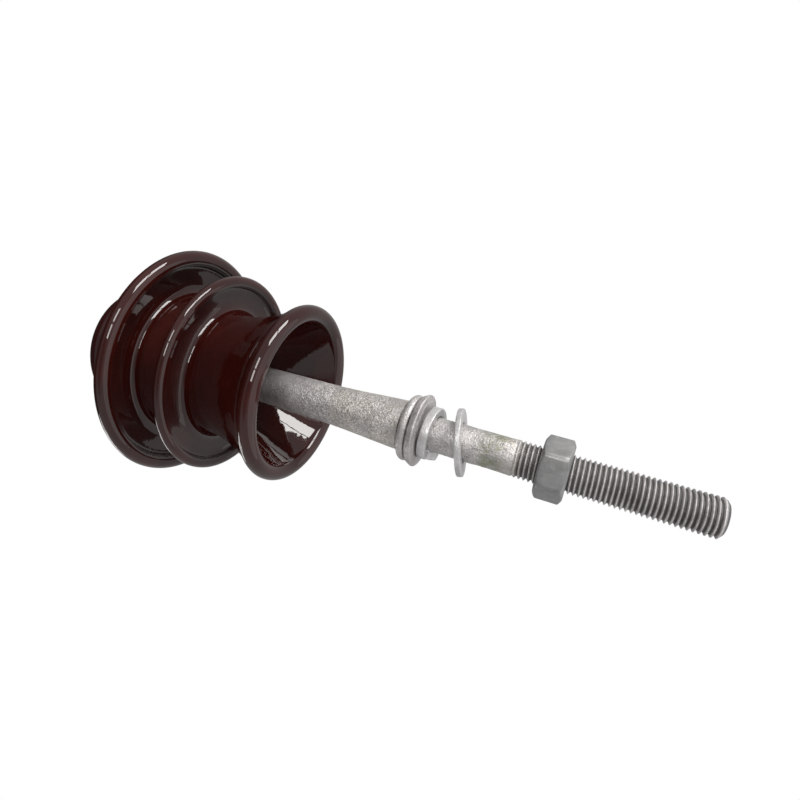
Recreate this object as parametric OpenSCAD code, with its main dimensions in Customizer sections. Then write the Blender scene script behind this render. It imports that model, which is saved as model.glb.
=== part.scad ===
// Pin insulator with its spindle: a glazed porcelain insulator with three rims, screwed on the lead head
// of a galvanised steel spindle, whose M20 shank clamps a crossarm.
// +Z is up along the spindle's axis, with the insulator's head on top. The origin is on the axis, in the
// plane of the collar's seat, where the crossarm bears.

/* [Insulator] */
// Radius of the upper, largest rim
upper_rim_r = 69.3; // [66:0.1:72]
// Radius of the middle rim
middle_rim_r = 59.8; // [56:0.1:62]
// Radius of the skirt's rim
skirt_rim_r = 52.8; // [50:0.1:56]
// Height of the upper rim above the seat
upper_rim_z = 159.2; // [157:0.1:162]
// Height of the middle rim above the seat
middle_rim_z = 129.4; // [127:0.1:131]
// Height of the skirt's rim above the seat
skirt_rim_z = 80.7; // [78:0.1:84]
// Radius of the head's crown
crown_r = 39.5; // [38:0.5:41]
// Height of the head's top above the seat
head_top_z = 204; // [203:0.5:208]

/* [Spindle] */
// Diameter of the shank's thread
thread_d = 20; // [20]
// Diameter of the plain shank
shank_d = 19.4; // [19:0.1:19.6]
// Length from the seat to the threaded tip
shank_len = 149; // [145:1:160]
// Length of the thread
thread_len = 98.7; // [95:0.1:105]
// Radius of the collar
collar_r = 20.2; // [19:0.1:21]
// Radius of the collar's seat
seat_r = 17; // [16:0.1:17.5]
// Radius of the stem just above the collar
stem_low_r = 13.9; // [13:0.1:14.5]
// Radius of the stem half way up, where its flare ends
stem_mid_r = 11.5; // [11:0.1:12]
// Radius of the stem just below its lead head
stem_high_r = 10.3; // [9.8:0.05:10.5]
// Outside radius of the lead head
head_r = 13; // [13]
// Length of the lead head
head_len = 45; // [40:1:46]

/* [Fasteners] */
// Width of the nut across its flats
nut_af = 30; // [30]
// Height of the nut
nut_h = 15; // [14:0.5:18]
// Distance from the seat down to the nut
nut_gap = 62.9; // [58:0.5:70]
// Outside diameter of the flat washer
washer_od = 36.5; // [36.4:0.1:37]
// Hole of the flat washer
washer_id = 22; // [21.8:0.1:22]
// Thickness of the flat washer
washer_t = 3; // [2.5:0.1:3]
// Distance from the seat down to the flat washer's centre
washer_gap = 21.1; // [20:0.1:24]
// Lean of the loose flat washer
washer_lean = 14; // [0:0.5:14]
// Side of the spring washer's square section
spring_t = 4.5; // [4:0.1:5]
// Axial step between the spring washer's two ends
spring_step = 4.5; // [3:0.1:5]

/* [Hidden] */
$fn = 96;

// Radius of each rim's rounded lip
skirt_lip_r = 5;
middle_lip_r = 3.2;
upper_lip_r = 4.4;
// Outside radius of the skirt's waist and of the neck between the two upper rims
waist_r = 37.4;
neck_r = 41.5;
// Pinhole: the porcelain's hole, the cement's and the thimble's walls, from the outside in
pinhole_r = 21;
thimble_r = 18;
thimble_bore_r = 13.3;
pinhole_low_z = 122;
pinhole_top_z = 182;
thimble_low_z = 125;
thimble_top_z = 179;
thimble_wall = 2;
// Lead head: foot on the stem, and the steel core inside it
head_low_z = 128;
head_top_wall = 4;
core_r = 9.5;
head_clear = 0.4;
cushion_r = 12.9;
cushion_t = 3.2;
// Grooves of the head: the side groove for the tie wire, the top groove for the conductor
side_groove_r = 7.5;
side_groove_z = 183;
top_groove_r = 11;
top_groove_depth = 12;
crown_round = 9;
tip_chamfer = 1.5;
stem_low_z = 13;
stem_mid_z = 55;
// Free end of the thread, below the nut, and the one thread root that parts it from the rest
free_len = 68;
root_w = 1.2;
nut_clear = 0.3;
nut_turn = -6;
spring_in_r = 10.2;
spring_split = 6;
spring_side = 178;
spring_gap = 0.3;
washer_drop = 0.25;
washer_tip = 4;

// Points of an arc about c, from angle a0 to a1
function arc(c, r, a0, a1, n = 12) =
    [for (i = [0:n]) let (a = a0 + (a1 - a0) * i / n) c + r * [cos(a), sin(a)]];

// Points of a cubic curve, without its two ends
function flare(p0, p1, p2, p3, n = 10) =
    [for (i = [1:n - 1]) let (t = i / n, s = 1 - t)
        s * s * s * p0 + 3 * s * s * t * p1 + 3 * s * t * t * p2 + t * t * t * p3];

// Centres of the three lips, of the side groove and of the crown's edge
skirt_lip = [skirt_rim_r - skirt_lip_r, skirt_rim_z];
middle_lip = [middle_rim_r - middle_lip_r, middle_rim_z];
upper_lip = [upper_rim_r - upper_lip_r, upper_rim_z];
side_groove = [crown_r - 0.5, side_groove_z];
groove_floor = side_groove - [side_groove_r, 0];
crown_edge = [crown_r - crown_round, head_top_z - crown_round];

// Where the lips meet the flared walls
function on_lip(c, r, a) = c + r * [cos(a), sin(a)];
skirt_out = on_lip(skirt_lip, skirt_lip_r, 40);
skirt_in = on_lip(skirt_lip, skirt_lip_r, 190);
middle_out = on_lip(middle_lip, middle_lip_r, 60);
middle_in = on_lip(middle_lip, middle_lip_r, 180);
middle_bend = middle_in + [-3.9, 2.7];
upper_out = on_lip(upper_lip, upper_lip_r, 60);
upper_in = on_lip(upper_lip, upper_lip_r, 180);
upper_bend = upper_in + [-4.5, 3.3];
waist = [waist_r, skirt_rim_z + 40];
waist_top = [waist_r + 0.1, middle_rim_z - 3.8];
middle_under = [waist_r + 6.6, middle_rim_z + 3.1];
neck_low = [neck_r, middle_rim_z + 14];
neck_high = [neck_r, upper_rim_z - 2.9];
upper_under = [neck_r + 7, upper_rim_z + 4.4];
throat = [pinhole_r, pinhole_low_z];

// Half section of the porcelain: up the outside from the skirt's lip, over the head, and down the inside
function porcelain_outline() = concat(
    arc(skirt_lip, skirt_lip_r, -170, 40, 20),
    flare(skirt_out, skirt_out + [-5.1, 6.2], waist + [3, -18], waist),
    [waist],
    [waist_top],
    flare(waist_top, waist_top + [0.2, 4.8], middle_under - [4.4, 0.2], middle_under, 8),
    [middle_under, middle_bend],
    flare(middle_bend, middle_in + [-1.2, 2.4], middle_in + [0, 1.8], middle_in, 6),
    arc(middle_lip, middle_lip_r, -180, 60, 16),
    flare(middle_out, middle_out + [-9, 4.5], neck_low - [0, 8], neck_low),
    [neck_low, neck_high],
    flare(neck_high, neck_high + [0.1, 4.9], upper_under - [4.7, 0.3], upper_under, 8),
    [upper_under, upper_bend],
    flare(upper_bend, upper_in + [-1.4, 2.9], upper_in + [0, 2.1], upper_in, 6),
    arc(upper_lip, upper_lip_r, -180, 60, 16),
    flare(upper_out, upper_out + [-14, 8], groove_floor - [0, 10], groove_floor),
    arc(side_groove, side_groove_r, 180, 120, 6),
    arc(crown_edge, crown_round, 0, 90, 10),
    [[0, head_top_z], [0, pinhole_top_z], [pinhole_r, pinhole_top_z], throat],
    flare(throat, throat + [6, -10], skirt_in + [-6.5, 15], skirt_in));

module porcelain() {
    color([0.22, 0.06, 0.05])
    difference() {
        rotate_extrude() polygon(porcelain_outline());
        translate([0, 0, head_top_z - top_groove_depth + top_groove_r])
            rotate([0, 90, 0]) cylinder(r = top_groove_r, h = 3 * crown_r, center = true);
        translate([0, 0, head_top_z - top_groove_depth + top_groove_r + crown_r / 2])
            cube([3 * crown_r, 2 * top_groove_r, crown_r], center = true);
    }
}

// Cement between the pinhole and the thimble
module cement() {
    color([0.62, 0.6, 0.56])
    rotate_extrude() polygon([
        [thimble_r, thimble_low_z], [pinhole_r, thimble_low_z], [pinhole_r, pinhole_top_z],
        [0, pinhole_top_z], [0, thimble_top_z], [thimble_r, thimble_top_z]]);
}

// Threaded thimble, closed at its top
module thimble() {
    color([0.55, 0.56, 0.58])
    rotate_extrude() polygon([
        [thimble_bore_r, thimble_low_z], [thimble_r, thimble_low_z], [thimble_r, thimble_top_z],
        [0, thimble_top_z], [0, thimble_top_z - thimble_wall],
        [thimble_bore_r, thimble_top_z - thimble_wall]]);
}

// Cork disc in the thimble's blind end
module cushion() {
    color([0.55, 0.38, 0.24])
    translate([0, 0, head_low_z + head_len + head_clear]) cylinder(r = cushion_r, h = cushion_t);
}

// Lead cast on the spindle's top, threaded outside
module lead_head() {
    color([0.36, 0.37, 0.4])
    rotate_extrude() polygon([
        [core_r, head_low_z], [head_r - 2, head_low_z], [head_r, head_low_z + 2],
        [head_r, head_low_z + head_len - 1], [head_r - 1, head_low_z + head_len],
        [0, head_low_z + head_len], [0, head_low_z + head_len - head_top_wall],
        [core_r, head_low_z + head_len - head_top_wall]]);
}

// Forged spindle: threaded shank, collar, tapered stem, and the core of the lead head. The thread is plain
// at its major diameter, in two stretches: one under the nut, and the free end.
module spindle() {
    shank_r = shank_d / 2;
    thread_r = thread_d / 2;
    free_top = tip_chamfer + free_len - shank_len;
    color([0.6, 0.61, 0.61])
    rotate_extrude() polygon(concat(
        [[0, -shank_len], [thread_r - tip_chamfer, -shank_len], [thread_r, tip_chamfer - shank_len],
            [thread_r, free_top], [shank_r, free_top],
            [shank_r, free_top + root_w], [thread_r, free_top + root_w],
            [thread_r, thread_len - shank_len], [shank_r, thread_len - shank_len + 1],
            [shank_r, -0.8], [shank_r + 0.8, 0], [seat_r, 0], [collar_r - 0.8, 0.5],
            [collar_r, 1.3], [collar_r - 0.1, 1.8], [collar_r - 1.4, 4.3], [collar_r - 2.4, 4.8]],
        arc([collar_r - 4.7, 7.2], 3, -55, 80, 10),
        [[stem_low_r + 0.6, 10.7], [stem_low_r, stem_low_z]],
        flare([stem_low_r, stem_low_z], [stem_low_r - 0.5, stem_low_z + 14],
            [stem_mid_r + 0.6, stem_mid_z - 18], [stem_mid_r, stem_mid_z], 8),
        [[stem_mid_r, stem_mid_z], [stem_high_r, head_low_z], [core_r, head_low_z], [core_r, head_low_z + head_len - head_top_wall],
            [0, head_low_z + head_len - head_top_wall]]));
}

// Corners of the spring washer's section at angle a, with the ring s of the way round
function spring_ring(a, s) = let (
    z = -spring_gap - spring_step * s,
    low = spring_in_r,
    high = spring_in_r + spring_t)
    [for (p = [[low, z], [high, z], [high, z - spring_t], [low, z - spring_t]])
        [p.x * cos(a), p.x * sin(a), p.y]];

// Split spring washer, a square section along one turn of a helix
module spring_washer() {
    turns = 60;
    points = [for (i = [0:turns], p = spring_ring(
        spring_side + spring_split / 2 + (360 - spring_split) * i / turns, i / turns)) p];
    sides = [for (i = [0:turns - 1], j = [0:3])
        [4 * i + j, 4 * i + (j + 1) % 4, 4 * i + 4 + (j + 1) % 4, 4 * i + 4 + j]];
    ends = [[3, 2, 1, 0], [4 * turns, 4 * turns + 1, 4 * turns + 2, 4 * turns + 3]];
    color([0.58, 0.59, 0.59]) polyhedron(points, concat(sides, ends));
}

// Loose flat washer, hanging on the shank and leaning
module flat_washer() {
    color([0.66, 0.67, 0.67])
    translate([-washer_drop, 0, -washer_gap]) rotate([washer_tip, -washer_lean, 0])
    difference() {
        cylinder(d = washer_od, h = washer_t, center = true);
        cylinder(d = washer_id, h = 2 * washer_t, center = true);
    }
}

// Hexagon nut with both faces chamfered
module hex_nut() {
    corner_r = nut_af / 2 / cos(30);
    edge = 1.3;
    color([0.5, 0.51, 0.51])
    translate([0, 0, -nut_gap - nut_h]) difference() {
        intersection() {
            rotate([0, 0, nut_turn]) cylinder(r = corner_r, h = nut_h, $fn = 6);
            rotate_extrude() polygon([
                [0, 0], [nut_af / 2 - 0.4, 0], [corner_r + 0.2, edge], [corner_r + 0.2, nut_h - edge],
                [nut_af / 2 - 0.4, nut_h], [0, nut_h]]);
        }
        translate([0, 0, -1]) cylinder(r = thread_d / 2 + nut_clear, h = nut_h + 2);
    }
}

porcelain();
cement();
thimble();
cushion();
lead_head();
spindle();
spring_washer();
flat_washer();
hex_nut();
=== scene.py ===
"""Looks of a pin insulator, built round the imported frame.

Lengths are in millimetres, and in metres once a mesh or a shader is made and for the light and the
ground. Sections are lists of (radius, z) points."""

import math

import bmesh
import bpy
from mathutils import Matrix, Vector, noise


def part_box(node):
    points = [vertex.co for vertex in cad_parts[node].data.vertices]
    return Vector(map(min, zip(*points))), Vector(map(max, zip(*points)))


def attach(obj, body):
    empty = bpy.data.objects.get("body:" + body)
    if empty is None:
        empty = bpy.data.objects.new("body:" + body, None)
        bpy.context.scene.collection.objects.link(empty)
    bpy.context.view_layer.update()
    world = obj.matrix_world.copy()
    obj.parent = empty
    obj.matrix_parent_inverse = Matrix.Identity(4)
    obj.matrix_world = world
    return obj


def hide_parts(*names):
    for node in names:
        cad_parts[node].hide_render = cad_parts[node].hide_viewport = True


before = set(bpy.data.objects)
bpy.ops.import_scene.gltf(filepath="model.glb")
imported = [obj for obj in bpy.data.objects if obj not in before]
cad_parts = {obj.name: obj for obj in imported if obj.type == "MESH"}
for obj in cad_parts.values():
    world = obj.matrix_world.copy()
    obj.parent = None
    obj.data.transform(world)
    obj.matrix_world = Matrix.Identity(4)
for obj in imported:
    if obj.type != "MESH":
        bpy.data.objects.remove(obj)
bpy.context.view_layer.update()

MM = 0.001


def span(node):
    """Lowest and highest corner of a CAD node, in millimetres."""
    low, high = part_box(node)
    return low / MM, high / MM


PORCELAIN_LOW, PORCELAIN_HIGH = span("porcelain")
SPINDLE_LOW, SPINDLE_HIGH = span("spindle")
LEAD_LOW, LEAD_HIGH = span("lead_head")
THIMBLE_LOW, THIMBLE_HIGH = span("thimble")
SPRING_LOW, SPRING_HIGH = span("spring_washer")
WASHER_LOW, WASHER_HIGH = span("flat_washer")
NUT_LOW, NUT_HIGH = span("hex_nut")

# Porcelain. Each rim ends in a round lip, which the outside joins at the OUT angle and the inside at the IN
# angle, in degrees
SKIRT_LIP_R = 5.0
SKIRT_LIP_OUT = 40
SKIRT_LIP_IN = 190
MIDDLE_LIP_R = 3.2
UPPER_LIP_R = 4.4
LIP_OUT = 60
LIP_IN = 180
UPPER_RIM_R = PORCELAIN_HIGH.x
MIDDLE_RIM_R = 59.8
SKIRT_RIM_R = 52.8
UPPER_RIM_Z = 159.2
MIDDLE_RIM_Z = 129.4
SKIRT_RIM_Z = PORCELAIN_LOW.z + SKIRT_LIP_R
HEAD_TOP_Z = PORCELAIN_HIGH.z
CROWN_R = 39.5
CROWN_ROUND = 9.0
WAIST_R = 37.4
NECK_R = 41.5
PINHOLE_R = 21.0
PINHOLE_LOW_Z = 122.0
PINHOLE_TOP_Z = 182.0
SIDE_GROOVE_R = 7.5
SIDE_GROOVE_Z = 183.0
SIDE_GROOVE_END = 120
TOP_GROOVE_R = 11.0
TOP_GROOVE_DEPTH = 12.0
TOP_GROOVE_EDGE_R = 4.0
TOP_GROOVE_FOOT_Z = 186.0
PORCELAIN_SEGMENTS = 300

# Spindle. The seat is at z = 0, with the shank below it and the collar and the stem above
THREAD_R = 10.0
THREAD_PITCH = 2.5
THREAD_TOP_Z = -50.3
SHANK_R = 9.7
SEAT_R = 17.0
SEAT_ROUND = 0.6
COLLAR_R = SPINDLE_HIGH.x
FLANGE_ROUND = 0.8
BEAD_R = 3.0
BEAD_Z = 7.2
FILLET_Z = -1.2
TIP_Z = SPINDLE_LOW.z
STEM_LOW_R = 13.9
STEM_LOW_Z = 13.0
STEM_MID_R = 11.5
STEM_MID_Z = 55.0
STEM_HIGH_R = 10.3
CORE_R = 9.5
CORE_DROP = 4.0
SPINDLE_SEGMENTS = 128

# Lead head and thimble: one coarse thread, with play between the two
LEAD_PITCH = 6.35
LEAD_DEPTH = 1.5
LEAD_TURNS = 6
LEAD_SEGMENTS = 80
LEAD_R = LEAD_HIGH.x
THIMBLE_R = THIMBLE_HIGH.x
THIMBLE_BORE_R = 13.3
THIMBLE_WALL = 2.0

# Fasteners. The nut is 30 across its flats. The spring washer's ends are SPRING_STEP apart along the axis
# and SPRING_SPLIT degrees round it
NUT_AF = 30.0
NUT_BORE_R = 10.3
NUT_TURN = math.radians(-6)
NUT_CHAMFER = 1.0
NUT_EDGE = 0.35
NUT_CORNER = math.radians(26.5)
NUT_SEGMENTS = 240
WASHER_R = 18.25
WASHER_HOLE_R = 11.0
WASHER_T = 3.0
WASHER_ROUND = 0.55
WASHER_SEGMENTS = 120
WASHER_LEAN = math.radians(-14)
WASHER_TIP = math.radians(4)
SPRING_IN_R = 10.2
SPRING_T = 4.5
SPRING_STEP = 4.5
SPRING_SPLIT = 6.0
SPRING_SLANT = 14.0
SPRING_SIDE = 178.0
SPRING_ROUND = 0.75
SPRING_STEPS = 150


# ---------------------------------------------------------------- curves of an outline


def arc(centre, radius, start, end, count):
    """Points of an arc, both ends included; angles in degrees."""
    points = []
    for i in range(count + 1):
        angle = math.radians(start + (end - start) * i / count)
        points.append((centre[0] + radius * math.cos(angle), centre[1] + radius * math.sin(angle)))
    return points


def flare(p0, p1, p2, p3, count):
    """Points of a cubic curve, without its two ends."""
    points = []
    for i in range(1, count):
        t = i / count
        s = 1 - t
        weights = (s * s * s, 3 * s * s * t, 3 * s * t * t, t * t * t)
        points.append(tuple(sum(w * p[k] for w, p in zip(weights, (p0, p1, p2, p3))) for k in (0, 1)))
    return points


def line(p0, p1, step):
    """Points from p0 up to p1, without p1, no more than a step apart."""
    count = max(1, math.ceil(math.dist(p0, p1) / step))
    return [tuple(p0[k] + (p1[k] - p0[k]) * i / count for k in (0, 1)) for i in range(count)]


def on_arc(centre, radius, angle):
    """The point of an arc at one angle, in degrees."""
    return arc(centre, radius, angle, angle, 1)[0]


def lip(centre, radius, inside, outside, count):
    """A rim's round lip, from its inside angle round the bottom to its outside angle."""
    return arc(centre, radius, inside - 360, outside, count)


def shift(point, dr, dz):
    """A section's point, moved outwards by dr and up by dz."""
    return (point[0] + dr, point[1] + dz)


def porcelain_outline():
    """Half section, up the outside from the skirt's lip, over the head, and down the inside.

    The shifts set the handles of the curves: how far each one leans out of its two ends."""
    skirt_lip = (SKIRT_RIM_R - SKIRT_LIP_R, SKIRT_RIM_Z)
    middle_lip = (MIDDLE_RIM_R - MIDDLE_LIP_R, MIDDLE_RIM_Z)
    upper_lip = (UPPER_RIM_R - UPPER_LIP_R, UPPER_RIM_Z)
    side_groove = (CROWN_R - 0.5, SIDE_GROOVE_Z)
    groove_floor = shift(side_groove, -SIDE_GROOVE_R, 0)
    crown_edge = (CROWN_R - CROWN_ROUND, HEAD_TOP_Z - CROWN_ROUND)
    skirt_out = on_arc(skirt_lip, SKIRT_LIP_R, SKIRT_LIP_OUT)
    skirt_in = on_arc(skirt_lip, SKIRT_LIP_R, SKIRT_LIP_IN)
    middle_out = on_arc(middle_lip, MIDDLE_LIP_R, LIP_OUT)
    middle_in = on_arc(middle_lip, MIDDLE_LIP_R, LIP_IN)
    middle_bend = shift(middle_in, -3.9, 2.7)
    upper_out = on_arc(upper_lip, UPPER_LIP_R, LIP_OUT)
    upper_in = on_arc(upper_lip, UPPER_LIP_R, LIP_IN)
    upper_bend = shift(upper_in, -4.5, 3.3)
    waist = (WAIST_R, SKIRT_RIM_Z + 40)
    waist_top = (WAIST_R + 0.1, MIDDLE_RIM_Z - 3.8)
    middle_under = (WAIST_R + 6.6, MIDDLE_RIM_Z + 3.1)
    neck_low = (NECK_R, MIDDLE_RIM_Z + 14)
    neck_high = (NECK_R, UPPER_RIM_Z - 2.9)
    upper_under = (NECK_R + 7, UPPER_RIM_Z + 4.4)
    throat = (PINHOLE_R, PINHOLE_LOW_Z)
    shoulder = on_arc(side_groove, SIDE_GROOVE_R, SIDE_GROOVE_END)
    points = lip(skirt_lip, SKIRT_LIP_R, SKIRT_LIP_IN, SKIRT_LIP_OUT, 40)
    points += flare(skirt_out, shift(skirt_out, -5.1, 6.2), shift(waist, 3, -18), waist, 34)
    points += line(waist, waist_top, 1.2)
    points += [waist_top]
    points += flare(waist_top, shift(waist_top, 0.2, 4.8), shift(middle_under, -4.4, -0.2),
                    middle_under, 20)
    points += line(middle_under, middle_bend, 1.0)
    points += [middle_bend]
    points += flare(middle_bend, shift(middle_in, -1.2, 2.4), shift(middle_in, 0, 1.8), middle_in, 12)
    points += lip(middle_lip, MIDDLE_LIP_R, LIP_IN, LIP_OUT, 28)
    points += flare(middle_out, shift(middle_out, -9, 4.5), shift(neck_low, 0, -8), neck_low, 26)
    points += line(neck_low, neck_high, 1.2)
    points += [neck_high]
    points += flare(neck_high, shift(neck_high, 0.1, 4.9), shift(upper_under, -4.7, -0.3),
                    upper_under, 20)
    points += line(upper_under, upper_bend, 1.0)
    points += [upper_bend]
    points += flare(upper_bend, shift(upper_in, -1.4, 2.9), shift(upper_in, 0, 2.1), upper_in, 12)
    points += lip(upper_lip, UPPER_LIP_R, LIP_IN, LIP_OUT, 32)
    points += flare(upper_out, shift(upper_out, -14, 8), shift(groove_floor, 0, -10), groove_floor, 34)
    points += arc(side_groove, SIDE_GROOVE_R, 180, SIDE_GROOVE_END, 10)
    points += flare(shoulder, shift(shoulder, 1.6, 1.0), shift(crown_edge, CROWN_ROUND, -4),
                    shift(crown_edge, CROWN_ROUND, 0), 8)
    points += arc(crown_edge, CROWN_ROUND, 0, 90, 16)
    points += line((CROWN_R - CROWN_ROUND - 0.6, HEAD_TOP_Z), (0.6, HEAD_TOP_Z), 0.6)
    points += [(0, HEAD_TOP_Z), (0, PINHOLE_TOP_Z)]
    points += [(PINHOLE_R - 1, PINHOLE_TOP_Z), (PINHOLE_R, PINHOLE_TOP_Z - 1)]
    points += line((PINHOLE_R, PINHOLE_TOP_Z - 2), throat, 3)
    points += [throat]
    points += flare(throat, shift(throat, 6, -10), shift(skirt_in, -6.5, 15), skirt_in, 30)
    return points


# ---------------------------------------------------------------- meshes


def ripple(point, size, amount, seed=0.0):
    """Smooth noise at a point, between 0 and amount."""
    offset = Vector((seed, -seed, 2 * seed))
    return amount * (0.5 + 0.5 * noise.noise(Vector(point) / size + offset))


def ring(radius, z, segments, wobble=None):
    """One ring of points, or a single point on the axis."""
    if radius < 1e-6:
        return [Vector((0, 0, z))]
    points = []
    for i in range(segments):
        angle = 2 * math.pi * i / segments
        point = Vector((radius * math.cos(angle), radius * math.sin(angle), z))
        if wobble:
            point = wobble(point)
        points.append(point)
    return points


def join_rows(mesh, low, high):
    """Faces between two rows of vertices; a row of one vertex is a pole."""
    count = max(len(low), len(high))
    if len(low) == len(high) == 1:
        return
    for i in range(count):
        j = (i + 1) % count
        corners = (low[i % len(low)], low[j % len(low)], high[j % len(high)], high[i % len(high)])
        mesh.faces.new(list(dict.fromkeys(corners)))


def add_row(mesh, points):
    return [mesh.verts.new(point * MM) for point in points]


def add_rows(mesh, rings, loop=False):
    """A skin over rings of points. Returns the first and the last row."""
    rows = [add_row(mesh, points) for points in rings]
    for low, high in zip(rows, rows[1:]):
        join_rows(mesh, low, high)
    if loop:
        join_rows(mesh, rows[-1], rows[0])
    return rows[0], rows[-1]


def finish_mesh(mesh, name, sharp):
    """Turns the mesh into an object with smooth shading, save where it folds by more than sharp degrees."""
    bmesh.ops.triangulate(mesh, faces=[face for face in mesh.faces if len(face.verts) > 4])
    bmesh.ops.recalc_face_normals(mesh, faces=mesh.faces)
    data = bpy.data.meshes.new(name)
    mesh.to_mesh(data)
    mesh.free()
    data.shade_smooth()
    data.set_sharp_from_angle(angle=math.radians(sharp))
    piece = bpy.data.objects.new(name, data)
    bpy.context.scene.collection.objects.link(piece)
    return piece


def add_thread(mesh, low_row, high_row, z_low, turns, pitch, form, radius_at, segments):
    """A right-hand thread between two level rows. form lists (share of the pitch, height 0 to 1) along one
    pitch, and radius_at gives a point's radius from its z, that height and its angle round the axis."""
    count = len(form)
    rows = []
    for i in range(turns * count + 1):
        share, height = form[i % count]
        row = []
        for j in range(segments):
            angle = 2 * math.pi * j / segments
            z = z_low + pitch * (i // count + share + j / segments)
            radius = radius_at(z, height, angle)
            row.append(Vector((radius * math.cos(angle), radius * math.sin(angle), z)))
        rows.append(add_row(mesh, row))
    last = turns * count
    for i in range(last):
        for j in range(segments - 1):
            mesh.faces.new((rows[i][j], rows[i][j + 1], rows[i + 1][j + 1], rows[i + 1][j]))
        if i < last - count:
            upper = i + count
            mesh.faces.new((rows[i][-1], rows[upper][0], rows[upper + 1][0], rows[i + 1][-1]))
    for j in range(segments - 1):
        mesh.faces.new((low_row[j], low_row[j + 1], rows[0][j + 1], rows[0][j]))
        mesh.faces.new((rows[last][j], rows[last][j + 1], high_row[j + 1], high_row[j]))
    step_up = [rows[i][0] for i in range(count + 1)]
    mesh.faces.new([low_row[-1], low_row[0]] + step_up + [rows[0][-1]])
    step_down = [rows[last - i][-1] for i in range(count + 1)]
    mesh.faces.new([high_row[0], high_row[-1]] + step_down + [rows[last][0]])


def smooth_step(low, high, value):
    """0 at low and 1 at high, with a soft run between them. Either of the two may be the larger."""
    t = min(1.0, max(0.0, (value - low) / (high - low)))
    return t * t * (3 - 2 * t)


def zone(z, start, full, full_end, end):
    """1 from full to full_end, fading to 0 at start below them and at end above them."""
    return smooth_step(start, full, z) * smooth_step(end, full_end, z)


# ---------------------------------------------------------------- porcelain


def top_groove_z(y):
    """Height of the head's top across the groove: a round floor whose two edges roll over into the top."""
    floor_z = HEAD_TOP_Z - TOP_GROOVE_DEPTH
    floor_centre = floor_z + TOP_GROOVE_R
    edge_centre = HEAD_TOP_Z - TOP_GROOVE_EDGE_R
    reach = TOP_GROOVE_R + TOP_GROOVE_EDGE_R
    edge_y = math.sqrt(reach * reach - (floor_centre - edge_centre) ** 2)
    touch_y = edge_y * TOP_GROOVE_R / reach
    y = abs(y)
    if y >= edge_y:
        return HEAD_TOP_Z
    if y > touch_y:
        return edge_centre + math.sqrt(TOP_GROOVE_EDGE_R ** 2 - (edge_y - y) ** 2)
    return floor_centre - math.sqrt(TOP_GROOVE_R ** 2 - y * y)


def glaze_shape(point):
    """Presses the conductor groove into the head and leaves the slight unevenness of fired glaze."""
    radius = math.hypot(point.x, point.y)
    outside = point.z > PINHOLE_TOP_Z + 0.5 or radius > PINHOLE_R + 0.5
    if point.z > TOP_GROOVE_FOOT_Z and outside:
        share = (top_groove_z(point.y) - TOP_GROOVE_FOOT_Z) / (HEAD_TOP_Z - TOP_GROOVE_FOOT_Z)
        point.z = TOP_GROOVE_FOOT_Z + (point.z - TOP_GROOVE_FOOT_Z) * share
    if outside and radius > 1:
        sag = ripple(point, 34, 0.28) + ripple(point, 9, 0.05, 3.1)
        point.x -= point.x / radius * sag
        point.y -= point.y / radius * sag
    return point


def make_porcelain():
    mesh = bmesh.new()
    rings = [ring(r, z, PORCELAIN_SEGMENTS, glaze_shape) for r, z in porcelain_outline()]
    add_rows(mesh, rings, loop=True)
    return finish_mesh(mesh, "porcelain_shell", 60)


# ---------------------------------------------------------------- spindle

M20_FORM = ((0.0, 0.94), (0.03, 1.0), (0.095, 1.0), (0.125, 0.94), (0.30, 0.45), (0.479, 0.03),
            (0.5625, 0.0), (0.646, 0.03), (0.82, 0.45))
M20_DEPTH = 1.45
M20_LEAD_IN = 0.4
M20_FADE = (THREAD_TOP_Z + 2.8, THREAD_TOP_Z - 5.0)
TIP_CHAMFER = 1.9
TIP_SLOPE = 0.95

# Zones of the forging, as the four heights that zone() takes
PEELED = (THREAD_TOP_Z + 1, THREAD_TOP_Z + 6, -29, -24)
PITTED = (-19, -16, -11, -8)
GRITTY = (14, 22, 55, 75)
CRACKED = (3.9, 4.5, 5.0, 5.6)


def forged(point):
    """The lumps, peeled patches and grit of a hot-dipped forging, pulled inwards only.

    Each ripple gives one size of lump and the most it goes in."""
    radius = math.hypot(point.x, point.y)
    if radius < 1:
        return point
    peeled = zone(point.z, *PEELED)
    pitted = zone(point.z, *PITTED)
    gritty = zone(point.z, *GRITTY)
    patch = smooth_step(0.52, 0.57, ripple(point, 8, 1.0, 2.7))
    lumps = ripple(point, 9, 0.12) + ripple(point, 2.2, 0.06 + 0.14 * peeled + 0.10 * pitted, 5.7)
    lumps += 0.16 * peeled * patch + ripple(point, 1.2, 0.03 + 0.10 * gritty + 0.09 * pitted, 7.9)
    lumps += zone(point.z, *CRACKED) * ripple(point, 1.8, 0.55, 3.3)
    point.x -= point.x / radius * lumps
    point.y -= point.y / radius * lumps
    return point


def spindle_rings(points):
    return [ring(r, z, SPINDLE_SEGMENTS, forged) for r, z in points]


def shank_thread_radius(z, height, angle):
    """Radius of the M20 thread, which fades out into the shank and is chamfered at the tip."""
    full = THREAD_R - M20_DEPTH * (1 - height)
    point = Vector((math.cos(angle) * THREAD_R, math.sin(angle) * THREAD_R, z))
    full -= ripple(point, 3.0, 0.12, 1.3)
    start = SHANK_R - 0.1
    radius = start + (full - start) * smooth_step(*M20_FADE, z)
    chamfer = THREAD_R - TIP_CHAMFER + (z - TIP_Z) * TIP_SLOPE - ripple(point, 2.0, 0.25, 8.1)
    return min(radius, chamfer)


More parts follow.
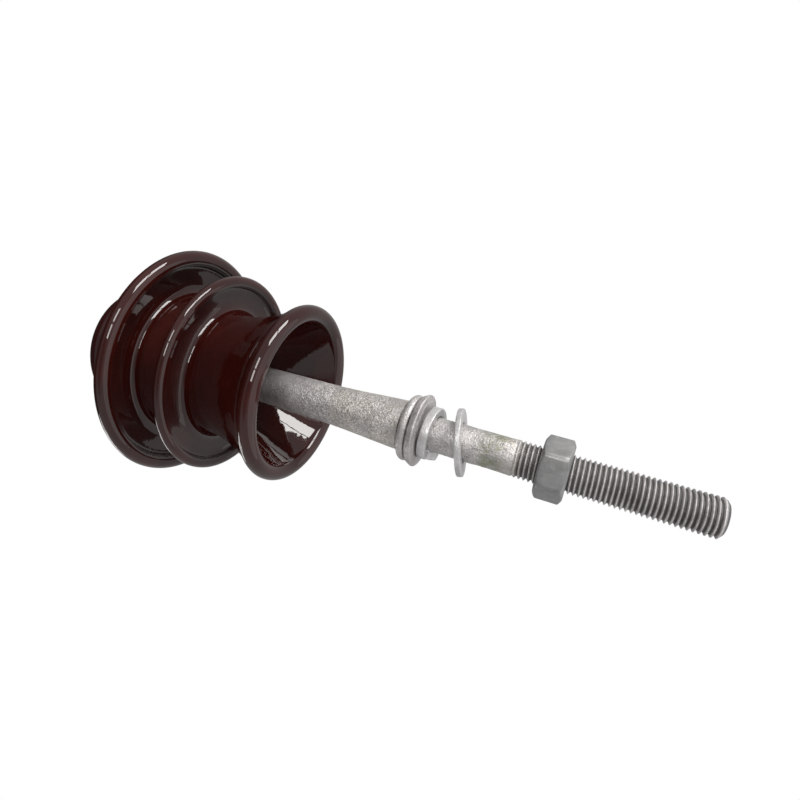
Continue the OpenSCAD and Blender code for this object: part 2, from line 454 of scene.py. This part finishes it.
def collar_section():
    """The seat, the flange over it, a crack, the bead above the crack and the foot of the stem."""
    seat = [(SHANK_R, FILLET_Z), (SHANK_R + 0.3, -0.4), (SHANK_R + 1.0, 0.05), (12.5, 0.0), (14.2, 0.03)]
    seat += arc((SEAT_R - SEAT_ROUND, SEAT_ROUND), SEAT_ROUND, -85, -45, 4)
    flange = line((SEAT_R + 0.2, 0.3), (COLLAR_R - 0.9, 0.5), 0.7)
    flange += arc((COLLAR_R - FLANGE_ROUND, 1.3), FLANGE_ROUND, -75, 20, 8)
    flange += line((COLLAR_R - 0.15, 1.9), (COLLAR_R - 1.2, 3.9), 0.5)
    flange += arc((COLLAR_R - 1.7, 4.1), 0.5, 10, 90, 5)
    crack = [(18.2, 4.5), (17.9, 4.4), (17.6, 4.5), (17.45, 4.7), (17.5, 5.0), (17.75, 5.4)]
    bead = arc((COLLAR_R - 4.7, BEAD_Z), BEAD_R, -32, 78, 14)
    foot = [(15.6, 10.3), (15.0, 10.5), (14.5, 10.7), (14.2, 11.0), (14.1, 11.5), (14.0, 12.2)]
    return seat + flange + crack + bead + foot


def make_spindle():
    mesh = bmesh.new()
    tip = [(0, TIP_Z + 0.25), (4, TIP_Z + 0.2), (6.6, TIP_Z + 0.1), (7.6, TIP_Z + 0.05),
           (8.0, TIP_Z + 0.25)]
    shank = line((SHANK_R, THREAD_TOP_Z + 3.2), (SHANK_R, FILLET_Z), 0.6)
    stem_low = (STEM_LOW_R, STEM_LOW_Z)
    stem_mid = (STEM_MID_R, STEM_MID_Z)
    stem = [stem_low]
    stem += flare(stem_low, shift(stem_low, -0.5, 14), shift(stem_mid, 0.6, -18), stem_mid, 76)
    stem += line(stem_mid, (STEM_HIGH_R, LEAD_LOW.z), 0.75)
    core = [(STEM_HIGH_R, LEAD_LOW.z), (CORE_R, LEAD_LOW.z + 0.1), (CORE_R, LEAD_HIGH.z - CORE_DROP),
            (0, LEAD_HIGH.z - CORE_DROP)]
    _, low_row = add_rows(mesh, spindle_rings(tip))
    high_row, _ = add_rows(mesh, spindle_rings(shank + collar_section() + stem + core))
    turns = int((THREAD_TOP_Z - TIP_Z) / THREAD_PITCH)
    add_thread(mesh, low_row, high_row, TIP_Z + M20_LEAD_IN, turns, THREAD_PITCH, M20_FORM,
               shank_thread_radius, SPINDLE_SEGMENTS)
    return finish_mesh(mesh, "forged_spindle", 38)


# ---------------------------------------------------------------- lead head and thimble

LEAD_FORM = ((0.0, 0.92), (0.08, 1.0), (0.2, 1.0), (0.28, 0.92), (0.42, 0.5), (0.56, 0.08),
             (0.64, 0.0), (0.76, 0.0), (0.86, 0.08), (0.93, 0.5))


def coarse_top(z_low):
    """Height of the level row above a coarse thread that starts at z_low."""
    return z_low + (LEAD_TURNS + 1) * LEAD_PITCH + 0.2


def coarse_depth(z, z_low):
    """Depth of the coarse thread at a height. It runs out at both ends."""
    z_high = coarse_top(z_low)
    fade = smooth_step(z_low - 0.5, z_low + 5, z) * (1 - smooth_step(z_high - 5, z_high + 0.5, z))
    return LEAD_DEPTH * fade


def coarse_rows(mesh, section):
    return add_rows(mesh, [ring(r, z, LEAD_SEGMENTS) for r, z in section])


def make_lead_head():
    mesh = bmesh.new()
    z_low = LEAD_LOW.z + 2.2
    z_high = coarse_top(z_low)

    def radius_at(z, height, angle):
        return LEAD_R - 0.4 - coarse_depth(z, z_low) * (1 - height)

    foot = [(CORE_R + 0.05, LEAD_LOW.z), (LEAD_R - 2, LEAD_LOW.z), (LEAD_R - 0.8, LEAD_LOW.z + 1),
            (LEAD_R - 0.4, z_low - 0.3)]
    cap = [(LEAD_R - 0.4, z_high), (LEAD_R - 0.6, LEAD_HIGH.z - 1.2), (LEAD_R - 1.6, LEAD_HIGH.z - 0.2),
           (LEAD_R - 3, LEAD_HIGH.z), (4, LEAD_HIGH.z), (0, LEAD_HIGH.z)]
    inside_z = LEAD_HIGH.z - CORE_DROP + 0.1
    foot_low, foot_high = coarse_rows(mesh, foot)
    cap_low, _ = coarse_rows(mesh, cap)
    _, inside_row = coarse_rows(mesh, [(0, inside_z), (CORE_R + 0.05, inside_z)])
    join_rows(mesh, inside_row, foot_low)
    add_thread(mesh, foot_high, cap_low, z_low, LEAD_TURNS, LEAD_PITCH, LEAD_FORM, radius_at, LEAD_SEGMENTS)
    return finish_mesh(mesh, "lead_thread_head", 38)


def make_thimble():
    mesh = bmesh.new()
    z_low = THIMBLE_LOW.z + 3.2
    z_high = coarse_top(z_low)
    ceiling = THIMBLE_HIGH.z - THIMBLE_WALL

    def radius_at(z, height, angle):
        return THIMBLE_BORE_R + coarse_depth(z, z_low) * height

    mouth = [(THIMBLE_BORE_R, z_low - 0.3), (THIMBLE_BORE_R, THIMBLE_LOW.z + 1.4),
             (THIMBLE_BORE_R + 1.3, THIMBLE_LOW.z), (THIMBLE_R - 0.5, THIMBLE_LOW.z),
             (THIMBLE_R, THIMBLE_LOW.z + 0.5), (THIMBLE_R, THIMBLE_HIGH.z - 1),
             (THIMBLE_R - 1, THIMBLE_HIGH.z), (0, THIMBLE_HIGH.z)]
    end = [(THIMBLE_BORE_R, z_high), (THIMBLE_BORE_R, ceiling - 1), (THIMBLE_BORE_R - 1, ceiling),
           (0, ceiling)]
    mouth_row, _ = coarse_rows(mesh, mouth)
    end_row, _ = coarse_rows(mesh, end)
    add_thread(mesh, mouth_row, end_row, z_low, LEAD_TURNS, LEAD_PITCH, LEAD_FORM, radius_at, LEAD_SEGMENTS)
    return finish_mesh(mesh, "thimble_shell", 38)


# ---------------------------------------------------------------- fasteners


def rounded_box(low, high, bottom, top, radius):
    """Section between two radii and two heights, with its four corners rounded."""
    corners = ((high - radius, top - radius), (low + radius, top - radius),
               (low + radius, bottom + radius), (high - radius, bottom + radius))
    points = []
    for i, centre in enumerate(corners):
        points += arc(centre, radius, 90 * i, 90 * i + 90, 4)
    return points


def make_spring_washer():
    """One turn of a square bar round the shank, its two cut ends parted along the axis."""
    mesh = bmesh.new()
    section = rounded_box(SPRING_IN_R, SPRING_IN_R + SPRING_T, SPRING_HIGH.z - SPRING_T,
                          SPRING_HIGH.z, SPRING_ROUND)
    rows = []
    for i in range(SPRING_STEPS + 1):
        share = i / SPRING_STEPS
        angle = math.radians(SPRING_SIDE + SPRING_SPLIT / 2 + (360 - SPRING_SPLIT) * share)
        row = []
        for r, z in section:
            turned = angle + math.radians(SPRING_SLANT) * (z - SPRING_HIGH.z) / SPRING_T
            point = Vector((r * math.cos(turned), r * math.sin(turned), z - SPRING_STEP * share))
            row.append(point - Vector((point.x, point.y, 0)).normalized() * ripple(point, 3, 0.12, 2.2))
        rows.append(row)
    first, last = add_rows(mesh, rows)
    for row, turn in ((first, 1), (last, -1)):
        mesh.faces.new(row[::turn])
    return finish_mesh(mesh, "split_spring_washer", 38)


def make_flat_washer():
    mesh = bmesh.new()
    section = rounded_box(WASHER_HOLE_R, WASHER_R, -WASHER_T / 2, WASHER_T / 2, WASHER_ROUND)
    middle = Matrix.Translation((WASHER_LOW + WASHER_HIGH) / 2)
    leaning = middle @ Matrix.Rotation(WASHER_LEAN, 4, "Y") @ Matrix.Rotation(WASHER_TIP, 4, "X")
    rows = []
    for r, z in section:
        points = ring(r, z, WASHER_SEGMENTS)
        rows.append([leaning @ (point * (1 - ripple(point, 5, 0.004, 4.4))) for point in points])
    add_rows(mesh, rows, loop=True)
    return finish_mesh(mesh, "plain_washer", 38)


def hex_radius(angle, flat_r):
    """Distance from the axis to a hexagon whose corners are cut off round."""
    turned = (angle - NUT_TURN) % math.radians(60) - math.radians(30)
    return min(flat_r / math.cos(turned), flat_r / math.cos(NUT_CORNER))


def make_nut():
    """Hexagon nut whose two faces are chamfered, so each side ends in a curved edge."""
    mesh = bmesh.new()
    flat_r = NUT_AF / 2
    middle = (NUT_HIGH.z + NUT_LOW.z) / 2
    half = (NUT_HIGH.z - NUT_LOW.z) / 2
    chamfer_r = flat_r - NUT_CHAMFER
    slope = math.tan(math.radians(30))

    def section(wall_r):
        """The upper half, from bore to a wall at wall_r. z counts from the nut's middle."""
        drop = (wall_r - chamfer_r) * slope
        hole = [(NUT_BORE_R, half - 1.6), (NUT_BORE_R + 1.3, half)]
        face = [(chamfer_r - NUT_EDGE, half), (chamfer_r, half - 0.06)]
        chamfer = [(wall_r - NUT_EDGE, half - drop + NUT_EDGE * slope), (wall_r - 0.08, half - drop - 0.1)]
        wall = [(wall_r, half - drop - NUT_EDGE), (wall_r, half * 0.4)]
        return hole + face + chamfer + wall

    columns = []
    for i in range(NUT_SEGMENTS):
        angle = 2 * math.pi * i / NUT_SEGMENTS
        points = section(hex_radius(angle, flat_r))
        columns.append([Vector((r * math.cos(angle), r * math.sin(angle), z)) for r, z in points])
    upper = list(zip(*columns))
    lower = [[Vector((p.x, p.y, -p.z)) for p in row] for row in reversed(upper)]
    rows = [[Vector((p.x, p.y, p.z + middle)) for p in row] for row in upper + lower]
    add_rows(mesh, rows, loop=True)
    return finish_mesh(mesh, "nut_body", 30)


# ---------------------------------------------------------------- materials

# Heights over which grit and the thread's painted shade and highlight fade, and one that is far below the
# part
GRIT_SOFT = 6
THREAD_SHADE_SOFT = 3
FAR_BELOW = -1000

# The colour sockets of a Mix node: its number and vector sockets have the same names
MIX_FACTOR = 0
MIX_FIRST = 6
MIX_SECOND = 7
MIX_RESULT = 2


def feed(tree, socket, value):
    """Links a socket to another one, or sets its value."""
    if isinstance(value, bpy.types.NodeSocket):
        tree.links.new(value, socket)
    else:
        socket.default_value = value


def set_inputs(made, **inputs):
    """Feeds the named inputs of a shader node. A name's underscores stand for spaces."""
    for name, value in inputs.items():
        feed(made.id_data, made.inputs[name.replace("_", " ")], value)


def add(tree, kind, settings=None, **inputs):
    """Adds a shader node. Inputs are sockets to link or values to set."""
    made = tree.nodes.new("ShaderNode" + kind)
    for name, value in (settings or {}).items():
        setattr(made, name, value)
    set_inputs(made, **inputs)
    return made


def ramp(tree, fac, stops):
    """Colour ramp from (place, colour) stops."""
    made = add(tree, "ValToRGB", Fac=fac)
    elements = made.color_ramp.elements
    while len(elements) < len(stops):
        elements.new(0.5)
    for element, (place, colour) in zip(elements, stops):
        element.position = place
        element.color = (*colour, 1)
    return made.outputs["Color"]


def grey_ramp(tree, fac, low, high, low_value=0.0, high_value=1.0):
    """Runs from one grey at low to another at high."""
    return ramp(tree, fac, ((low, (low_value,) * 3), (high, (high_value,) * 3)))


def mix(tree, fac, first, second, blend="MIX"):
    """Mixes two colours."""
    made = add(tree, "Mix", {"data_type": "RGBA", "blend_type": blend})
    feed(tree, made.inputs[MIX_FACTOR], fac)
    for index, colour in ((MIX_FIRST, first), (MIX_SECOND, second)):
        feed(tree, made.inputs[index], (*colour, 1) if isinstance(colour, tuple) else colour)
    return made.outputs[MIX_RESULT]


def times(tree, first, second):
    """Product of two numbers."""
    made = add(tree, "Math", {"operation": "MULTIPLY"})
    feed(tree, made.inputs[0], first)
    feed(tree, made.inputs[1], second)
    return made.outputs["Value"]


def noise_at(tree, coords, scale, detail=3.0, roughness=0.55, distortion=0.0):
    made = add(tree, "TexNoise", Vector=coords, Scale=scale, Detail=detail, Roughness=roughness,
               Distortion=distortion)
    return made.outputs["Fac"]


def new_material(name):
    """An empty material, its node tree, its shader and the piece's own coordinates."""
    made = bpy.data.materials.new(name)
    made.use_nodes = True
    tree = made.node_tree
    tree.nodes.clear()
    shader = tree.nodes.new("ShaderNodeBsdfPrincipled")
    output = tree.nodes.new("ShaderNodeOutputMaterial")
    tree.links.new(shader.outputs["BSDF"], output.inputs["Surface"])
    coords = tree.nodes.new("ShaderNodeTexCoord").outputs["Object"]
    return made, tree, shader, coords


def bump(tree, height, strength, distance, under=None):
    """Normal that follows a height, on top of the bump under it."""
    made = add(tree, "Bump", Strength=strength, Distance=distance, Height=height)
    if under:
        tree.links.new(under, made.inputs["Normal"])
    return made.outputs["Normal"]


def glaze_material():
    """Very dark red-brown glaze with a clear gloss, warmer here and there, with fine specks."""
    made, tree, shader, coords = new_material("brown_glaze")
    cloud = noise_at(tree, coords, 22, 4, 0.6)
    body = ramp(tree, cloud, ((0.30, (0.017, 0.0024, 0.0019)), (0.55, (0.028, 0.0038, 0.0027)),
                              (0.78, (0.048, 0.0075, 0.0044))))
    speck = grey_ramp(tree, noise_at(tree, coords, 1500, 2, 0.5), 0.68, 0.74)
    body = mix(tree, speck, body, (0.060, 0.016, 0.009))
    dust = grey_ramp(tree, noise_at(tree, coords, 420, 5, 0.7), 0.42, 0.75, 0.03, 0.07)
    waves = noise_at(tree, coords, 95, 2, 0.5)
    peel = noise_at(tree, coords, 900, 2, 0.5)
    normal = bump(tree, waves, 0.10, 0.0012)
    normal = bump(tree, peel, 0.02, 0.0002, normal)
    set_inputs(shader, Base_Color=body, Roughness=dust, IOR=1.56, Normal=normal)
    return made


def band(tree, height, low, high, soft):
    """1 between two heights, falling to 0 over the soft length outside them."""
    smooth = {"interpolation_type": "SMOOTHSTEP"}
    rise = add(tree, "MapRange", smooth, Value=height, From_Min=(low - soft) * MM, From_Max=low * MM)
    fall = add(tree, "MapRange", smooth, Value=height, From_Min=high * MM, From_Max=(high + soft) * MM,
               To_Min=1.0, To_Max=0.0)
    return times(tree, rise.outputs[0], fall.outputs[0])


def zinc_material(name, dark, light, rough, glint_strength, bumps, stains_and_shades=(), grit=(), painted_thread_shade_top=None):
    """Hot-dipped zinc: blotchy grey with a crystal mottle, fine painted glints and small lumps.

    stains_and_shades lists bands of height, of real stains and of painted shade, as (low, high, soft edge,
    colour). grit lists them as (low, high, spread), where a lower spread means more grit.
    painted_thread_shade_top is the height below which the thread's roots get painted shade and its crests a
    painted highlight."""
    made, tree, shader, coords = new_material(name)
    position = add(tree, "SeparateXYZ", Vector=coords)
    height = position.outputs["Z"]
    blotch = noise_at(tree, coords, 90, 5, 0.6, 0.4)
    colour = ramp(tree, blotch, ((0.32, dark), (0.66, light)))
    crystals = add(tree, "TexVoronoi", {"feature": "F1"}, Vector=coords, Scale=420.0, Randomness=1.0)
    spangle = grey_ramp(tree, crystals.outputs["Color"], 0.0, 1.0, 0.78, 1.12)
    colour = mix(tree, 0.55, colour, spangle, "MULTIPLY")
    fine = noise_at(tree, coords, 1700, 3, 0.6)
    # painted glints: fine specks made lighter and darker in the colour
    glint = grey_ramp(tree, fine, 0.35, 0.68, 1.0 - glint_strength, 1.0 + glint_strength)
    colour = mix(tree, 1.0, colour, glint, "MULTIPLY")
    coarse = noise_at(tree, coords, 1050, 2, 0.5)
    for low, high, spread in grit:
        share = times(tree, band(tree, height, low, high, GRIT_SOFT),
                      grey_ramp(tree, noise_at(tree, coords, 95, 3, 0.55), spread, spread + 0.07))
        speckle = grey_ramp(tree, coarse, 0.36, 0.62, 0.66, 1.30)
        colour = mix(tree, share, colour, mix(tree, 1.0, colour, speckle, "MULTIPLY"))
    # bands of real stains, and of painted shade where a band lies in the crack or in a crease
    for low, high, soft, stain_and_shade in stains_and_shades:
        patches = grey_ramp(tree, noise_at(tree, coords, 150, 4, 0.6), 0.38, 0.56)
        share = times(tree, band(tree, height, low, high, soft), patches)
        colour = mix(tree, share, colour, stain_and_shade, "MULTIPLY")
    # painted shade in the thread's roots and a painted highlight on its crests, set by distance from the
    # axis
    if painted_thread_shade_top is not None:
        flat = add(tree, "CombineXYZ", X=position.outputs["X"], Y=position.outputs["Y"])
        radius = add(tree, "VectorMath", {"operation": "LENGTH"}, Vector=flat.outputs["Vector"])
        depth = times(tree, radius.outputs["Value"], 1 / (THREAD_R * MM))
        root_shade_crest_highlight = grey_ramp(tree, depth, 0.87, 0.985, 0.22, 1.30)
        share = band(tree, height, FAR_BELOW, painted_thread_shade_top, THREAD_SHADE_SOFT)
        colour = mix(tree, share, colour, mix(tree, 1.0, colour, root_shade_crest_highlight, "MULTIPLY"))
    roughness = grey_ramp(tree, noise_at(tree, coords, 260, 4, 0.6), 0.3, 0.75, rough - 0.08, rough + 0.12)
    normal = bump(tree, noise_at(tree, coords, 330, 4, 0.6), bumps, 0.0007)
    normal = bump(tree, coarse, bumps, 0.0005, normal)
    normal = bump(tree, fine, bumps * 0.8, 0.00022, normal)
    set_inputs(shader, Base_Color=colour, Metallic=0.55, Roughness=roughness, Normal=normal)
    return made


def cement_material():
    made, tree, shader, coords = new_material("cement")
    sand = noise_at(tree, coords, 1100, 4, 0.7)
    colour = ramp(tree, sand, ((0.35, (0.24, 0.225, 0.20)), (0.62, (0.46, 0.44, 0.40))))
    pits = noise_at(tree, coords, 380, 3, 0.6)
    set_inputs(shader, Base_Color=colour, Roughness=0.92, Normal=bump(tree, pits, 0.6, 0.0006))
    return made


def cork_material():
    made, tree, shader, coords = new_material("cork")
    grains = add(tree, "TexVoronoi", {"feature": "F1"}, Vector=coords, Scale=520.0)
    colour = ramp(tree, grains.outputs["Color"], ((0.0, (0.17, 0.085, 0.038)), (1.0, (0.40, 0.24, 0.12))))
    gaps = grains.outputs["Distance"]
    set_inputs(shader, Base_Color=colour, Roughness=0.85, Normal=bump(tree, gaps, 0.5, 0.0005))
    return made


def lead_material():
    made, tree, shader, coords = new_material("cast_lead")
    bloom = noise_at(tree, coords, 180, 5, 0.65)
    colour = ramp(tree, bloom, ((0.34, (0.085, 0.09, 0.10)), (0.66, (0.23, 0.24, 0.26))))
    roughness = grey_ramp(tree, bloom, 0.3, 0.7, 0.42, 0.62)
    scuffs = noise_at(tree, coords, 800, 3, 0.6)
    set_inputs(shader, Base_Color=colour, Metallic=0.8, Roughness=roughness,
               Normal=bump(tree, scuffs, 0.3, 0.0002))
    return made


# ---------------------------------------------------------------- pieces

# Tints, a painted shade colour, and the bands of height that zinc_material() takes
GREENISH = (0.62, 0.66, 0.52)
YELLOWISH = (1.0, 0.98, 0.92)
# painted shade colour: darkens the crack over the flange and the crease at the bead's foot
CREASE_SHADE = (0.28, 0.26, 0.25)
STEM_STAIN = (14, 50, 6, YELLOWISH)
PEELED_STAIN = (-42, -36, 6, GREENISH)
THREAD_TOP_STAIN = (-52, -46, 6, YELLOWISH)
# painted shade bands in the crack and in the crease at the bead's foot
CRACK_SHADE = (4.3, 5.3, 0.3, CREASE_SHADE)
BEAD_FOOT_SHADE = (10.3, 11.2, 0.6, CREASE_SHADE)
STEM_GRIT = (18, 70, 0.40)
PITTED_GRIT = (-16, -10, 0.50)
PEELED_GRIT = (-46, -27, 0.50)


def place(piece, body, slot, material, *nodes):
    """Gives a new piece its material and puts it on its body in place of its CAD node."""
    piece.data.materials.append(material)
    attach(piece, body)
    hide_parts(*nodes)


def dress(node, material):
    """Gives a CAD node that stays a finished material."""
    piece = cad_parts[node]
    piece.data.materials.clear()
    piece.data.materials.append(material)


def build_pieces():
    galvanised = zinc_material(
        "galvanised_forging", (0.40, 0.38, 0.378), (0.58, 0.555, 0.55), rough=0.46, glint_strength=0.16, bumps=0.7,
        stains_and_shades=(STEM_STAIN, PEELED_STAIN, THREAD_TOP_STAIN, CRACK_SHADE, BEAD_FOOT_SHADE),
        grit=(STEM_GRIT, PITTED_GRIT, PEELED_GRIT),
        painted_thread_shade_top=THREAD_TOP_Z - 2)
    washer_zinc = zinc_material(
        "washer_zinc", (0.50, 0.49, 0.49), (0.66, 0.65, 0.65), rough=0.40, glint_strength=0.08, bumps=0.3)
    nut_zinc = zinc_material(
        "nut_zinc", (0.245, 0.245, 0.245), (0.29, 0.288, 0.288), rough=0.42, glint_strength=0.02, bumps=0.06)
    thimble_zinc = zinc_material(
        "thimble_zinc", (0.30, 0.31, 0.32), (0.42, 0.43, 0.44), rough=0.5, glint_strength=0.05, bumps=0.2)
    place(make_porcelain(), "insulator", "glaze", glaze_material(), "porcelain")
    place(make_thimble(), "insulator", "zinc", thimble_zinc, "thimble")
    place(make_lead_head(), "spindle", "lead", lead_material(), "lead_head")
    place(make_spindle(), "spindle", "galvanised", galvanised, "spindle")
    place(make_spring_washer(), "spring_washer", "washer_zinc", washer_zinc, "spring_washer")
    place(make_flat_washer(), "flat_washer", "washer_zinc", washer_zinc, "flat_washer")
    place(make_nut(), "hex_nut", "nut_zinc", nut_zinc, "hex_nut")
    dress("cement", cement_material())
    dress("cushion", cork_material())


# ---------------------------------------------------------------- camera, light and ground

CAMERA_PLACE = Vector((12.19, -290.97, -76.64)) * MM
CAMERA_RIGHT = Vector((0.26944, 0.29777, -0.91584))
CAMERA_UP = Vector((0.96304, -0.08537, 0.25556))
CAMERA_LENS = 24.885
CAMERA_SENSOR = 36
CAMERA_NEAR = 0.01

# Ground and light, in metres, degrees and radiance
FLOOR_DROP = 0.35
FLOOR_R = 0.66
FLOOR_GLOW = 0.62
PART_CENTRE = Vector((0, 0, 0.08))
WINDOW_DISTANCE = 1.6
WINDOW_BAR = 0.045
DAYLIGHT = (1.0, 0.99, 0.97)
ROOM = 0.52
OVERHEAD = 0.04
OVERHEAD_EDGE = (0.45, 0.80)
DIM_AZIMUTH = -105
DIM = 0.35
DIM_EDGE = (0.80, 0.96)


def add_camera():
    data = bpy.data.cameras.new("camera")
    data.lens = CAMERA_LENS
    data.sensor_width = CAMERA_SENSOR
    data.clip_start = CAMERA_NEAR
    camera = bpy.data.objects.new("camera", data)
    back = CAMERA_RIGHT.cross(CAMERA_UP)
    turn = Matrix((CAMERA_RIGHT, CAMERA_UP, back)).transposed()
    camera.matrix_world = Matrix.Translation(CAMERA_PLACE) @ turn.to_4x4()
    bpy.context.scene.collection.objects.link(camera)
    bpy.context.scene.camera = camera


def heading(azimuth, elevation):
    """Unit vector that points away from the part, both angles in degrees."""
    turn = math.radians(azimuth)
    rise = math.radians(elevation)
    return Vector((math.cos(turn) * math.cos(rise), math.sin(turn) * math.cos(rise), math.sin(rise)))


def add_lamp(name, centre, to_part, sideways, size, radiance):
    """Rectangular lamp that shines along to_part, its width along sideways. The camera doesn't see it."""
    data = bpy.data.lights.new(name, "AREA")
    data.shape = "RECTANGLE"
    data.size, data.size_y = size
    data.energy = radiance * math.pi * size[0] * size[1]
    data.color = DAYLIGHT
    lamp = bpy.data.objects.new(name, data)
    upwards = sideways.cross(to_part)
    turn = Matrix((sideways, upwards, -to_part)).transposed()
    lamp.matrix_world = Matrix.Translation(centre) @ turn.to_4x4()
    lamp.visible_camera = False
    bpy.context.scene.collection.objects.link(lamp)


def add_window(name, azimuth, elevation, pane, radiance):
    """Soft window: two by two panes with bars between them."""
    away = heading(azimuth, elevation)
    sideways = Vector((0, 0, 1)).cross(away).normalized()
    upwards = away.cross(sideways)
    middle = PART_CENTRE + away * WINDOW_DISTANCE
    for label, across, along in (("a", -1, -1), ("b", 1, -1), ("c", -1, 1), ("d", 1, 1)):
        centre = middle + sideways * (across * (pane[0] + WINDOW_BAR) / 2)
        centre += upwards * (along * (pane[1] + WINDOW_BAR) / 2)
        add_lamp(name + "_" + label, centre, -away, sideways, pane, radiance)


def add_world():
    """White to the camera. To the part it is a grey room, dark overhead and dim on one side."""
    world = bpy.data.worlds.new("studio")
    bpy.context.scene.world = world
    world.use_nodes = True
    tree = world.node_tree
    tree.nodes.clear()
    direction = add(tree, "TexCoord").outputs["Generated"]
    height = add(tree, "SeparateXYZ", Vector=direction).outputs["Z"]
    room = grey_ramp(tree, height, *OVERHEAD_EDGE, ROOM, OVERHEAD)
    facing = add(tree, "VectorMath", {"operation": "DOT_PRODUCT"}, Vector=direction)
    facing.inputs[1].default_value = heading(DIM_AZIMUTH, 0)
    dim = grey_ramp(tree, facing.outputs["Value"], *DIM_EDGE, 1.0, DIM)
    room = mix(tree, 1.0, room, dim, "MULTIPLY")
    seen = add(tree, "Background", Color=(1, 1, 1, 1), Strength=1.0)
    light = add(tree, "Background", Color=room, Strength=1.0)
    camera_ray = add(tree, "LightPath").outputs["Is Camera Ray"]
    both = add(tree, "MixShader", Fac=camera_ray)
    tree.links.new(light.outputs["Background"], both.inputs[1])
    tree.links.new(seen.outputs["Background"], both.inputs[2])
    add(tree, "OutputWorld", Surface=both.outputs["Shader"])


def add_floor():
    """A plain pale disc below the part."""
    mesh = bmesh.new()
    low = TIP_Z * MM - FLOOR_DROP
    bmesh.ops.create_circle(mesh, cap_ends=True, segments=128, radius=FLOOR_R,
                            matrix=Matrix.Translation((0, 0, low)))
    data = bpy.data.meshes.new("floor")
    mesh.to_mesh(data)
    mesh.free()
    floor = bpy.data.objects.new("floor", data)
    bpy.context.scene.collection.objects.link(floor)
    made, _, shader, _ = new_material("pale_floor")
    set_inputs(shader, Base_Color=(0.85, 0.85, 0.85, 1), Roughness=0.9, Emission_Color=(1, 1, 1, 1),
               Emission_Strength=FLOOR_GLOW)
    data.materials.append(made)


def add_lights():
    add_window("right_window", azimuth=-20, elevation=-25, pane=(0.50, 0.24), radiance=13.5)
    add_window("front_window", azimuth=-75, elevation=-8, pane=(0.36, 0.20), radiance=10.0)
    add_window("back_window", azimuth=165, elevation=45, pane=(0.36, 0.24), radiance=3.5)


bpy.context.scene.view_settings.view_transform = "Standard"
add_camera()
add_world()
add_lights()
add_floor()
build_pieces()
